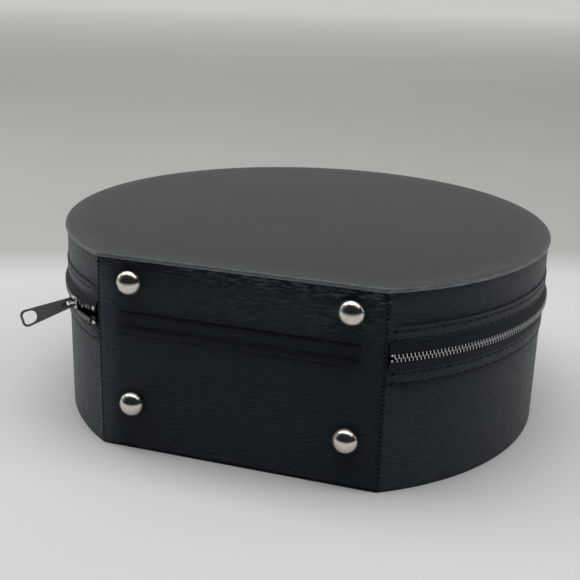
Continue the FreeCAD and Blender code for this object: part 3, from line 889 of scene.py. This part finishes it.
def toothPlace(angle, z, lean):
    out = Matrix.Translation((roundRadius + zipSizes["toothOut"] * mm, 0, z * mm))
    return (Matrix.Rotation(angle, 4, "Z") @ out @ Matrix.Rotation(math.pi / 2, 4, "Z")
            @ Matrix.Rotation(math.radians(lean), 4, "Y"))


# Of each row: the way its teeth grow, their foot and lean, its share of a step, and how far
# the open part drops at its start and its end
toothRows = {"lower": {"body": "base", "way": 1, "foot": 102.6, "lean": -7, "shift": 0.68,
                       "drops": (-6.2, -4.8)},
             "upper": {"body": "lid", "way": -1, "foot": 107.4, "lean": -13, "shift": 0.0,
                       "drops": (0.4, 3.2)}}


def makeTeeth():
    step = zipSizes["pitch"] * mm / (roundRadius + 1.2 * mm)
    first = zipStart + math.radians(0.85)
    meshedEnd, openStart, openEnd = [math.radians(angle) for angle in zipSizes["ends"]]
    for row, sizes in toothRows.items():
        chain = makeTooth(row + "Chain", sizes["way"])
        place(chain, toothPlace(first + step * sizes["shift"], sizes["foot"], sizes["lean"]))
        arrayRound(chain, int((meshedEnd - first) / step), step)
        parts = [chain]
        start, end = sizes["drops"]
        angle = openStart
        while angle < openEnd:
            drop = start + (end - start) * (angle - openStart) / (openEnd - openStart)
            tooth = makeTooth("%sOpen%d" % (row, len(parts)), sizes["way"])
            parts.append(place(tooth, toothPlace(angle, sizes["foot"] + drop, sizes["lean"])))
            angle += step
        piece = joinAll(row + "Teeth", parts)
        finishPiece(piece, chainMetal, sizes["body"], [row + "_zip_teeth"])


# Of each row: the height and size of the stop at the start, and at the end
stopRows = {"lower": {"body": "base", "stops": ((103.0, 1.4), (98.6, 2.3))},
            "upper": {"body": "lid", "stops": ((107.0, 1.4), (109.8, 2.3))}}


def makeStops():
    angles = (zipStart + math.radians(0.4), zipEnd - math.radians(0.6))
    for row, sizes in stopRows.items():
        parts = []
        for angle, (z, size) in zip(angles, sizes["stops"]):
            deselectAll()
            bpy.ops.mesh.primitive_cube_add(size=1)
            stop = named("stop")
            bpy.ops.transform.resize(value=(2.4 * mm, size * mm, size * 1.1 * mm))
            bpy.ops.object.transform_apply(location=True, rotation=True, scale=True)
            bpy.ops.object.mode_set(mode="EDIT")
            bpy.ops.mesh.select_all(action="SELECT")
            bpy.ops.mesh.bevel(offset=0.45 * mm, segments=3)
            bpy.ops.object.mode_set(mode="OBJECT")
            rest(stop, 50)
            out = Matrix.Translation((roundRadius + 2.2 * mm, 0, z * mm))
            parts.append(place(stop, Matrix.Rotation(angle, 4, "Z") @ out))
        piece = joinAll(row + "Stops", parts)
        finishPiece(piece, chainMetal, sizes["body"], [row + "_zip_stops"])


makeStrips()
makeTapes()
makeTeeth()
makeStops()
print("zip made")


sliderSizes = {"long": 12.0, "wide": 9.6, "tail": 7.6, "frontIn": 203.6, "frontThick": 1.4,
               "backIn": 199.0, "backThick": 1.3}


def sliderTurn():
    return Matrix.Rotation(sliderAngle, 4, "Z")


# A slider plate: a shield outline, narrower where the closed chain comes out
def makePlate(name, inner, thick):
    sizes = sliderSizes
    halfLong = sizes["long"] / 2
    halfWide = sizes["wide"] / 2
    halfTail = sizes["tail"] / 2
    outline = [(-halfLong, -halfTail), (-1.0, -halfTail - 0.2), (2.0, -halfWide),
               (halfLong - 1.2, -halfWide), (halfLong, -halfWide + 1.0), (halfLong - 0.7, 0),
               (halfLong, halfWide - 1.0),
               (halfLong - 1.2, halfWide), (2.0, halfWide), (-1.0, halfTail + 0.2), (-halfLong, halfTail)]
    piece = drawLine(name, [(inner * mm, along * mm, splitZ + up * mm) for along, up in outline], "face")
    bpy.ops.mesh.extrude_region_move(TRANSFORM_OT_translate={"value": (thick * mm, 0, 0)})
    weld()
    bpy.ops.mesh.bevel(offset=0.4 * mm, segments=3, clamp_overlap=True)
    rest(piece, 45)
    return place(piece, sliderTurn())


def makePlates():
    sizes = sliderSizes
    front = makePlate("sliderFront", sizes["frontIn"], sizes["frontThick"])
    finishPiece(front, nickelMetal, "slider", ["slider_front_plate"])
    back = makePlate("sliderBack", sizes["backIn"], sizes["backThick"])
    finishPiece(back, nickelMetal, "slider", ["slider_back_plate"])


bailSizes = {"middle": 204.9, "ring": 3.6, "wire": 0.6, "stretch": (1.12, 1, 1.25), "cut": -0.3}


# The bail is a stretched ring, cut off where it enters the front plate
def makeBail():
    sizes = bailSizes
    deselectAll()
    bpy.ops.mesh.primitive_torus_add(major_radius=sizes["ring"] * mm, minor_radius=sizes["wire"] * mm,
                                     major_segments=40, minor_segments=10)
    bail = named("sliderBail")
    bpy.ops.object.mode_set(mode="EDIT")
    bpy.ops.mesh.select_all(action="SELECT")
    bpy.ops.transform.resize(value=sizes["stretch"])
    bpy.ops.mesh.bisect(plane_co=(sizes["cut"] * mm, 0, 0), plane_no=(-1, 0, 0), clear_outer=True,
                        use_fill=True)
    bpy.ops.mesh.normals_make_consistent(inside=False)
    rest(bail, 60)
    place(bail, sliderTurn() @ Matrix.Translation((sizes["middle"] * mm, 0, splitZ)))
    finishPiece(bail, chainMetal, "slider", ["slider_bail"])


# How far the tab's end, slot and hole reach from its pivot, and half their widths, at each end
tabSizes = {"pivot": 205.7, "droop": 13.5, "thick": 1.3, "soften": 0.3,
            "start": -0.8, "end": 41.2, "startHalf": 3.8, "endHalf": 7.4, "corners": (1.8, 4.2, 4.2, 1.8),
            "slotStart": 1.0, "slotEnd": 5.0, "slotHalf": 1.7, "slotCorner": 0.9,
            "holeStart": 29.2, "holeEnd": 39.4, "holeStartHalf": 4.9, "holeEndHalf": 5.5,
            "holeCorners": (4.6, 2.8, 2.8, 4.6)}


def taperedOutline(start, end, startHalf, endHalf, radii):
    points = [(start, -startHalf), (end, -endHalf), (end, endHalf), (start, startHalf)]
    return millimetres(roundedCorners(points, radii))


def makePullTab():
    sizes = tabSizes
    outlines = [taperedOutline(sizes["start"], sizes["end"], sizes["startHalf"], sizes["endHalf"],
                               sizes["corners"]),
                taperedOutline(sizes["slotStart"], sizes["slotEnd"], sizes["slotHalf"], sizes["slotHalf"],
                               [sizes["slotCorner"]] * 4),
                taperedOutline(sizes["holeStart"], sizes["holeEnd"], sizes["holeStartHalf"],
                               sizes["holeEndHalf"], sizes["holeCorners"])]
    piece = cutSheet("pullTab", outlines, (0, 0, sizes["thick"] * mm), sizes["soften"] * mm, 3)
    rest(piece, 40)
    place(piece, sliderTurn() @ Matrix.Translation((sizes["pivot"] * mm, 0, splitZ))
          @ Matrix.Rotation(math.radians(sizes["droop"]), 4, "Y") @ Matrix.Rotation(math.pi / 2, 4, "X")
          @ Matrix.Translation((0, 0, -sizes["thick"] * mm / 2)))
    finishPiece(piece, gunMetal, "pull_tab", ["pull_tab"])


makePlates()
makeBail()
makePullTab()
print("slider made")


def footLine():
    sizes = footSizes
    radius = sizes["radius"]
    line = [(0.01, 0.2), (radius - 0.6, -0.2), (radius - 0.1, 0.0), (radius, 0.5),
            (radius - 0.05, 1.0), (radius - 0.3, 1.5)]
    ball = sizes["capRadius"]
    widest = math.asin(sizes["capReach"] / ball)
    for step in range(sizes["steps"]):
        angle = widest * (1 - step / sizes["steps"])
        line.append((ball * math.sin(angle), sizes["tall"] - ball * (1 - math.cos(angle))))
    return line + [(0.01, sizes["tall"])]


def makeFeet():
    for row, body, node in (("lower", "base", "lower_feet"), ("upper", "lid", "upper_feet")):
        feet = []
        for middle in footMiddles(node):
            foot = drawLine("foot", [middle + Vector((r * mm, -out * mm, 0)) for r, out in footLine()])
            turn(middle, 2 * math.pi, 48, (0, 1, 0))
            weld(0.00002)
            rest(foot, 40)
            feet.append(foot)
        finishPiece(joinAll(row + "Feet", feet), footMetal, body, [node])


makeFeet()
print("feet made")


# The handle's joint is the line through the tops of the rings
handleSizes = {"pivotY": 199.0, "pivotZ": 58.0, "lean": 9.0, "spread": 58.0}
ringSizes = {"wire": 1.6, "halfWide": 10.0, "drop": 14.0, "bend": 2.2}
strapSizes = {"half": 65.5, "inner": 50.5, "top": -11.0, "drop": 46.0, "grip": 13.0, "thick": 6.0,
              "corners": (5, 12, 12, 5, 5, 6, 6, 5), "soften": 2.0, "inset": 2.6, "gripRow": 46.0,
              "stitch": 2.8, "stitchGap": 3.6}
chapeSizes = {"halfWide": 6.5, "low": 38.0, "high": 64.0, "thick": 1.6, "tube": 3.6, "bore": 2.0,
              "tail": 190.5, "tailHalf": 1.8, "rivetZ": 45.0}


def handleLean():
    sizes = handleSizes
    return (Matrix.Translation((0, sizes["pivotY"] * mm, sizes["pivotZ"] * mm))
            @ Matrix.Rotation(math.radians(sizes["lean"]), 4, "X"))


# Each ring is a wire section carried round four rounded corners
def makeRings():
    wireRadius = ringSizes["wire"] * mm
    bend = ringSizes["bend"] * mm
    reach = ringSizes["halfWide"] * mm - bend
    drop = ringSizes["drop"] * mm
    fall = drop - 2 * bend
    runs = (((reach, 0, 0), reach, -bend), ((0, 0, -fall), reach, bend - drop),
            ((-2 * reach, 0, 0), -reach, bend - drop), ((0, 0, fall), -reach, -bend))
    rings = []
    for side in (-1, 1):
        middle = side * handleSizes["spread"] * mm
        wireAngles = [step * math.pi / 6 for step in range(12)]
        circle = [(middle, wireRadius * math.cos(angle), wireRadius * math.sin(angle))
                  for angle in wireAngles]
        ring = drawLine("ring", circle, "loop")
        for way, across, height in runs:
            go(way)
            turn((middle + across, 0, height), -math.pi / 2, 5, (0, -1, 0))
        go((reach, 0, 0))
        weld()
        rings.append(rest(ring, 60))
    piece = place(joinAll("handleRings", rings), handleLean())
    finishPiece(piece, steelMetal, "handle", ["handle_rings"])


def makeStrap():
    sizes = strapSizes
    half, inner, top = sizes["half"], sizes["inner"], sizes["top"]
    low = -sizes["drop"]
    gripTop = low + sizes["grip"]
    corners = [(-half, top), (-half, low), (half, low), (half, top),
               (inner, top), (inner, gripTop), (-inner, gripTop), (-inner, top)]
    outline = millimetres(roundedCorners(corners, sizes["corners"]))
    piece = cutSheet("handleStrap", [outline], (0, 0, sizes["thick"] * mm), sizes["soften"] * mm, 5)
    rest(piece, 50)
    upright = Matrix.Rotation(math.pi / 2, 4, "X") @ Matrix.Translation((0, 0, -sizes["thick"] * mm / 2))
    place(piece, handleLean() @ upright)
    finishPiece(piece, handleLeather, "handle", ["handle_strap"])


def makeStrapStitches():
    sizes = strapSizes
    low, inset = -sizes["drop"], sizes["inset"]
    gripTop = low + sizes["grip"]
    lines = [((-sizes["gripRow"], level), (sizes["gripRow"], level))
             for level in (low + inset, gripTop - inset)]
    lines += [((leg * edge, sizes["top"] - 7), (leg * edge, low + 12))
              for leg in (-1, 1) for edge in (sizes["half"] - inset, sizes["inner"] + inset)]
    rows = []
    for side in (-1, 1):
        face = side * (sizes["thick"] / 2 + 0.05)
        for first, last in lines:
            ends = millimetres([(first[0], face, first[1]), (last[0], face, last[1])])
            stitch = makeStitch("strapRow", sizes["stitch"] * mm, 0.7 * mm)
            rows.append(runLine(stitch, ends[0], ends[1], (0, side, 0), sizes["stitchGap"] * mm))
    stitches = place(joinAll("strapStitches", rows), handleLean())
    finishPiece(stitches, blackThread, "handle")


# Each chape is a patch that lies on the wall and a tube that holds the ring
def makePatch(angle):
    sizes = chapeSizes
    low, high, thick = sizes["low"], sizes["high"], sizes["thick"]
    spanned = sizes["halfWide"] * mm / roundRadius
    section = [(0.0, low + 0.2), (thick - 0.7, low), (thick - 0.1, low + 0.3), (thick, low + 1.0),
               (thick, high - 1.0), (thick - 0.1, high - 0.3), (thick - 0.7, high), (0.0, high - 0.2)]
    return sweepRound("chapePatch", section, angle - spanned, angle + spanned, 8)


def makeTube(middle):
    sizes = chapeSizes
    y, z, tail = handleSizes["pivotY"], handleSizes["pivotZ"], sizes["tailHalf"]
    start = (middle - sizes["halfWide"]) * mm

    def arc(radius, angles):
        return [(y + radius * math.cos(angle), z + radius * math.sin(angle)) for angle in angles]
    outer = arc(sizes["tube"], [math.radians(turned) for turned in range(-150, 151, 15)])
    outer = [(sizes["tail"], z - tail)] + outer + [(sizes["tail"], z + tail)]
    bore = arc(sizes["bore"], [step * math.pi / 10 for step in range(20)])
    outlines = [[(start, y * mm, z * mm) for y, z in points] for points in (outer, bore)]
    return rest(cutSheet("chapeTube", outlines, (2 * sizes["halfWide"] * mm, 0, 0), 0.35 * mm, 3), 45)


def makeRivet(angle):
    line = [(0.01, 0.0), (3.0, 0.0), (3.2, 0.25), (3.15, 0.6), (2.6, 1.05), (1.6, 1.35), (0.01, 1.45)]
    rivet = drawLine("rivet", [(r * mm, 0, out * mm) for r, out in line])
    turn((0, 0, 0), 2 * math.pi, 28)
    weld(0.00002)
    rest(rivet, 45)
    foot = atAngle(angle, 1.55 * mm, chapeSizes["rivetZ"] * mm)
    return place(rivet, frameAt(foot, (0, 0, 1), (math.cos(angle), math.sin(angle), 0)))


def makeChapes():
    chapes = []
    rivets = []
    for side in (-1, 1):
        middle = side * handleSizes["spread"]
        angle = math.acos(middle * mm / roundRadius)
        chapes += [makePatch(angle), makeTube(middle)]
        rivets.append(makeRivet(angle))
    finishPiece(joinAll("handleChapes", chapes), handleLeather, "base", ["handle_chapes"])
    finishPiece(joinAll("handleRivets", rivets), steelMetal, "base", ["handle_rivets"])


makeRings()
makeStrap()
makeStrapStitches()
makeChapes()
print("handle made")


kept = {"base_floor_board": greyBoard, "base_wall_board": greyBoard, "lid_top_board": greyBoard,
        "lid_wall_board": greyBoard, "base_floor_lining": floorCloth, "base_wall_lining": liningCloth,
        "lid_top_lining": floorCloth, "lid_wall_lining": liningCloth, "lower_foot_washers": steelMetal,
        "upper_foot_washers": steelMetal, "handle_backing": liningCloth}
for node, material in kept.items():
    piece = frame["nodes"][node]
    piece.data.materials.clear()
    piece.data.materials.append(material)


# The distance from the middle of the box straight away from the camera
def awayFromCamera(x, y):
    return y * 0.9175 - x * 0.398


# Of the floor: the pale pair, the deeper pair painted as shade behind the box, a dark colour painted as
# shade towards the camera, and a colour painted as light that grows away from the camera
floorLook = {"pale": ((0.80, 0.79, 0.78, 1.0), (0.84, 0.83, 0.82, 1.0)),
             "deep": ((0.50, 0.49, 0.47, 1.0), (0.56, 0.55, 0.53, 1.0)),
             "front": (0.30, 0.30, 0.31, 1.0), "glow": (0.46, 0.45, 0.43, 1.0)}


# A pale floor; behind the box its colour is painted deeper and given a glow that grows with distance,
# painted shade and painted light standing in for paper that turns up, and towards the camera it is painted
# dark as painted shade
def makeStage():
    deselectAll()
    bpy.ops.mesh.primitive_plane_add(size=24)
    floor = named("floor")
    finish = Finish("paper")
    x, y, z = finish.axes()
    mottle = finish.noise((2.5, 2.5, 2.5), 2.0)
    toBack = awayFromCamera(x, y)
    beyond = finish.ramp(toBack, 0.31, 0.42, 0.0, 1.0)
    front = finish.ramp(y, -1.1, -0.4, 1.0, 0.0)
    pale = finish.blendColors(mottle, *floorLook["pale"])
    deep = finish.blendColors(mottle, *floorLook["deep"])
    paper = finish.blendColors(beyond, pale, deep)
    # Painted light: the floor glows more the farther it lies from the camera
    glow = finish.ramp(toBack, 0.42, 6.5, 0.0, 1.0) + beyond * 0.06
    finish.set(color=finish.blendColors(front, paper, floorLook["front"]), roughness=0.85,
               glow=finish.blendColors(glow, (0.0, 0.0, 0.0, 1.0), floorLook["glow"]))
    finish.shader.inputs["Emission Strength"].default_value = 1.0
    floor.data.materials.append(finish.material)


worldLook = {"near": (0.014, 0.017, 0.023, 1.0), "far": (0.46, 0.47, 0.46, 1.0), "turn": (-0.25, 0.55)}


# Bright behind and above the case, dim on the camera's side
def makeWorld():
    world = bpy.data.worlds.new("studio")
    world.use_nodes = True
    tree = world.node_tree
    place = tree.nodes.new("ShaderNodeTexCoord")
    split = tree.nodes.new("ShaderNodeSeparateXYZ")
    tree.links.new(place.outputs["Generated"], split.inputs[0])
    toBack = awayFromCamera(Socket(tree, split.outputs[0]), Socket(tree, split.outputs[1]))
    ramp = tree.nodes.new("ShaderNodeMapRange")
    ramp.interpolation_type = "SMOOTHSTEP"
    wire(tree, toBack, ramp.inputs["Value"])
    ramp.inputs["From Min"].default_value, ramp.inputs["From Max"].default_value = worldLook["turn"]
    mix = tree.nodes.new("ShaderNodeMix")
    mix.data_type = "RGBA"
    wire(tree, Socket(tree, ramp.outputs["Result"]), mix.inputs[0])
    mix.inputs[6].default_value = worldLook["near"]
    mix.inputs[7].default_value = worldLook["far"]
    wire(tree, Socket(tree, mix.outputs[2]), tree.nodes["Background"].inputs["Color"])
    bpy.context.scene.world = world


# Each light: where it is, what it faces, its two sides and its power
lights = {"overheadLeft": ((-0.72, -0.15, 1.9), (-0.45, -0.15, 0.0), (1.3, 2.6), 16.8),
          "overheadRight": ((0.72, -0.15, 1.9), (0.45, -0.15, 0.0), (1.3, 2.6), 16.8),
          "leftBox": ((-1.7, 0.1, 0.9), (0, 0, 0.08), (0.7, 1.2), 3),
          "rightBox": ((1.8, 0.3, 0.8), (0, 0, 0.08), (0.7, 1.2), 4)}


def makeLights():
    for name, (position, target, size, power) in lights.items():
        deselectAll()
        bpy.ops.object.light_add(type="AREA", location=position)
        light = bpy.context.object
        light.name = name
        light.data.shape = "RECTANGLE"
        light.data.size, light.data.size_y = size
        light.data.energy = power
        light.rotation_euler = (Vector(target) - Vector(position)).to_track_quat("-Z", "Y").to_euler()


# The camera's angles are in radians
cameraSizes = {"position": (0.2377, -0.7910, 0.3642), "yaw": -0.308, "pitch": 0.324, "roll": 0.030,
               "lens": 61.98, "sensor": 36, "near": 0.01, "far": 50}


def makeCamera():
    sizes = cameraSizes
    yaw, pitch, roll = sizes["yaw"], sizes["pitch"], sizes["roll"]
    level = math.cos(pitch)
    forward = Vector((math.sin(yaw) * level, math.cos(yaw) * level, -math.sin(pitch)))
    right = Vector((math.cos(yaw), -math.sin(yaw), 0))
    up = right.cross(forward)
    rolledRight = right * math.cos(roll) + up * math.sin(roll)
    rolledUp = up * math.cos(roll) - right * math.sin(roll)
    deselectAll()
    bpy.ops.object.camera_add()
    camera = bpy.context.object
    camera.name = "camera"
    camera.matrix_world = (Matrix.Translation(sizes["position"])
                           @ Matrix((rolledRight, rolledUp, -forward)).transposed().to_4x4())
    camera.data.sensor_width = sizes["sensor"]
    camera.data.lens = sizes["lens"]
    camera.data.clip_start = sizes["near"]
    camera.data.clip_end = sizes["far"]
    bpy.context.scene.camera = camera


makeStage()
makeWorld()
makeLights()
makeCamera()
bpy.context.scene.view_settings.view_transform = "Standard"
print("stage made")
